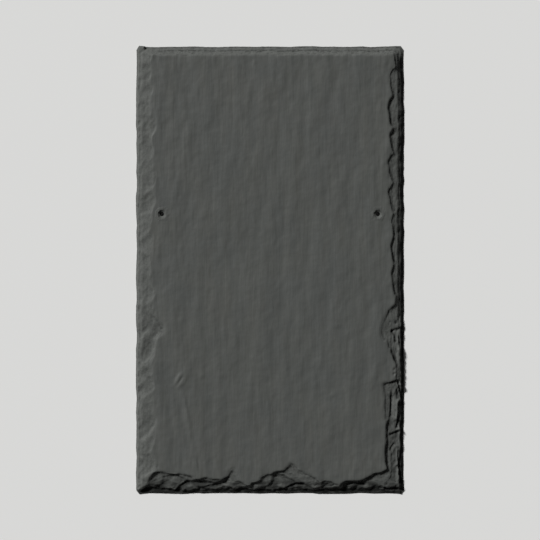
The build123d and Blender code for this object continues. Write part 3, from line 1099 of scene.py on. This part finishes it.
@dataclass(frozen=True)
class SlateFinish:
    """The look of the stone, riven on its face and freshly broken at its edges, with shade and highlights
    painted on the broken edges.

    Attributes:
        face: colour of the riven face.
        warm: colour of its warmer streaks.
        cool: colour of its cooler patches.
        fresh: colour where the stone is broken.
        bruised_highlight: colour of the worn lips of the broken ledges, lighter partly as worn stone and
            partly as a painted highlight.
        shade: share of the colour that is left where shade is painted fullest: in deep clefts, on steep
            steps and low on the broken edges.
        gloss: specular level of the stone, less where shade is painted.
        roughness: roughness of the face.
        broken_roughness: roughness where the stone is broken.
        relief: height of the finest relief.
    """

    face: tuple = (0.0690, 0.0725, 0.0675, 1.0)
    warm: tuple = (0.0750, 0.0760, 0.0680, 1.0)
    cool: tuple = (0.0615, 0.0660, 0.0640, 1.0)
    fresh: tuple = (0.0690, 0.0725, 0.0675, 1.0)
    bruised_highlight: tuple = (0.110, 0.113, 0.104, 1.0)
    shade: float = 0.1
    gloss: float = 0.3
    roughness: float = 0.62
    broken_roughness: float = 0.78
    relief: float = 0.16 * MM

    def material(self) -> bpy.types.Material:
        """Makes the stone's material.

        Returns:
            A material whose colour, roughness and relief vary over the slate.
        """
        material = bpy.data.materials.new("slate")
        material.use_nodes = True
        graph = Graph(material.node_tree)
        place = graph.add("TexCoord").outputs["Object"]
        tree = stone_noise_group()

        def stone_noise(width: float, length: float, depth: float, detail: float, grit: bool) -> Socket:
            """Places the stone's noise, bent a little unless it is even grit, and returns its value."""
            roughness, bent = (0.6, 0.0) if grit else (0.55, 0.25)
            values = {"Vector": place, "Width": width, "Length": length, "Depth": depth,
                      "Detail": detail, "Roughness": roughness, "Distortion": bent}
            return graph.add("Group", values, node_tree=tree).outputs[0]

        broken, deep, painted_shade, worn_and_highlit = (
            graph.add("Attribute", attribute_name=name).outputs["Fac"] for name in SHARES)
        wide = stone_noise(9.0, 120.0, 9.0, 3.0, False)
        narrow = stone_noise(2.6, 48.0, 2.6, 3.0, False)
        ripples = stone_noise(5.5, 24.0, 5.5, 2.0, False)
        laminae = stone_noise(15.0, 15.0, 0.7, 3.0, False)
        clouds = stone_noise(46.0, 46.0, 46.0, 5.0, True)
        sand = stone_noise(1.6, 1.6, 1.6, 6.0, True)
        dents = stone_noise(10.0, 10.0, 10.0, 1.5, True)

        face = graph.mix(graph.remap(wide, 0.4, 0.68, 0.0, 0.4), self.face, self.warm)
        face = graph.mix(graph.remap(clouds, 0.42, 0.66, 0.0, 0.45), face, self.cool)
        tone = graph.math("ADD", graph.remap(narrow, 0.3, 0.7, 0.97, 1.03),
                          graph.remap(sand, 0.3, 0.7, -0.03, 0.03))
        fresh_tone = graph.math("ADD", graph.remap(sand, 0.32, 0.7, 0.86, 1.12),
                                graph.remap(laminae, 0.3, 0.7, -0.12, 0.12))
        fresh = graph.dim(self.fresh, fresh_tone)
        # Worn lips are lighter, partly as worn stone and partly as a painted highlight.
        fresh = graph.mix(graph.math("MULTIPLY", worn_and_highlit, 0.5), fresh, self.bruised_highlight)
        # Painted shade: deep places, steep steps and low broken stone are darkened towards the shade share.
        shade_share = graph.math("MAXIMUM", graph.math("MULTIPLY", deep, 0.93), painted_shade)
        left = graph.remap(graph.math("MULTIPLY", shade_share, broken), 0.0, 1.0, 1.0, self.shade)
        colour = graph.dim(graph.mix(broken, graph.dim(face, tone), fresh), left)

        # Less specular where shade is painted, so that it stays dark.
        gloss = graph.math("MULTIPLY", left, self.gloss)
        rough = graph.remap(broken, 0.0, 1.0, self.roughness, self.broken_roughness)
        rough = graph.math("ADD", rough, graph.remap(narrow, 0.3, 0.7, -0.05, 0.05))

        grain = graph.total((narrow, 1.0), (sand, 0.1), (ripples, 1.6), (dents, 2.4))
        rugged = graph.math("MULTIPLY", graph.total((sand, 1.1), (laminae, 1.2)), broken)
        chips = graph.math("ADD", grain, rugged)
        bump = graph.add("Bump", {"Strength": 1.0, "Distance": self.relief, "Height": chips})
        shader = graph.add("BsdfPrincipled", {"Base Color": colour, "Roughness": rough,
                                              "Normal": bump.outputs[0], "Specular IOR Level": gloss})
        graph.add("OutputMaterial", {"Surface": shader.outputs[0]})
        return material


@dataclass
class Studio:
    """The pale floor, the soft light from the upper left and the camera that looks straight down.

    Attributes:
        floor: colour of the floor.
        floor_half: half the floor's side.
        sun: strength of the light.
        sun_angle: how wide the light is, in degrees.
        sun_from: direction that the light comes from.
        sky: strength of the light from all round.
        lens: focal length of the camera, in millimetres.
        seen: width of the picture at the face.
    """

    floor: tuple = (0.72, 0.72, 0.71, 1.0)
    floor_half: float = 4.0
    sun: float = 5.0
    sun_angle: float = 9.0
    sun_from: tuple = (-0.58, 0.56, 0.53)
    sky: float = 0.1
    lens: float = 100.0
    seen: float = 0.599

    def build(self, top: float) -> None:
        """Makes the floor, the lights and the camera.

        Args:
            top: height of the face that the camera looks at.
        """
        half = self.floor_half
        square = np.array([(-half, -half, 0.0), (half, -half, 0.0), (half, half, 0.0), (-half, half, 0.0)])
        ground = new_piece("floor", square, [[0, 1, 2, 3]])
        ground.data.materials.append(self.floor_material())

        lamp = bpy.data.lights.new("window", "SUN")
        lamp.energy = self.sun
        lamp.angle = math.radians(self.sun_angle)
        light = bpy.data.objects.new("window", lamp)
        light.rotation_mode = "QUATERNION"
        light.rotation_quaternion = (-Vector(self.sun_from)).to_track_quat("-Z", "Y")
        light.location = 2.0 * Vector(self.sun_from)
        bpy.context.scene.collection.objects.link(light)

        world = bpy.data.worlds.new("sky")
        world.use_nodes = True
        graph = Graph(world.node_tree)
        path = graph.add("LightPath")
        strength = graph.remap(path.outputs["Is Camera Ray"], 0.0, 1.0, self.sky, 1.0)
        backdrop = graph.add("Background", {"Color": self.floor, "Strength": strength})
        graph.add("OutputWorld", {"Surface": backdrop.outputs[0]})
        bpy.context.scene.world = world

        eye = bpy.data.cameras.new("camera")
        eye.lens = self.lens
        camera = bpy.data.objects.new("camera", eye)
        camera.location = (0.0, 0.0, top + self.seen * self.lens / eye.sensor_width)
        bpy.context.scene.collection.objects.link(camera)
        bpy.context.scene.camera = camera
        bpy.context.scene.view_settings.view_transform = "Standard"

    def floor_material(self) -> bpy.types.Material:
        """The floor's plain matt material."""
        material = bpy.data.materials.new("floor")
        material.use_nodes = True
        graph = Graph(material.node_tree)
        shader = graph.add("BsdfPrincipled", {"Base Color": self.floor, "Roughness": 0.9})
        graph.add("OutputMaterial", {"Surface": shader.outputs[0]})
        return material


def main() -> None:
    logging.basicConfig(level=logging.INFO, format="%(message)s")
    stone = Stone("slate").build()
    log.info("%s: %d points, %d faces", stone.name, len(stone.data.vertices), len(stone.data.polygons))
    NailHoles().cut(stone)
    stone.data.materials.clear()
    stone.data.materials.append(SlateFinish().material())
    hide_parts("slate")
    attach(stone, "root")
    triangles = sum(len(face.vertices) - 2 for face in stone.data.polygons)
    log.info("%s: holed, %d triangles", stone.name, triangles)
    Studio().build(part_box("slate")[1].z)
    log.info("floor, light and camera")


if __name__ == "__main__":
    main()
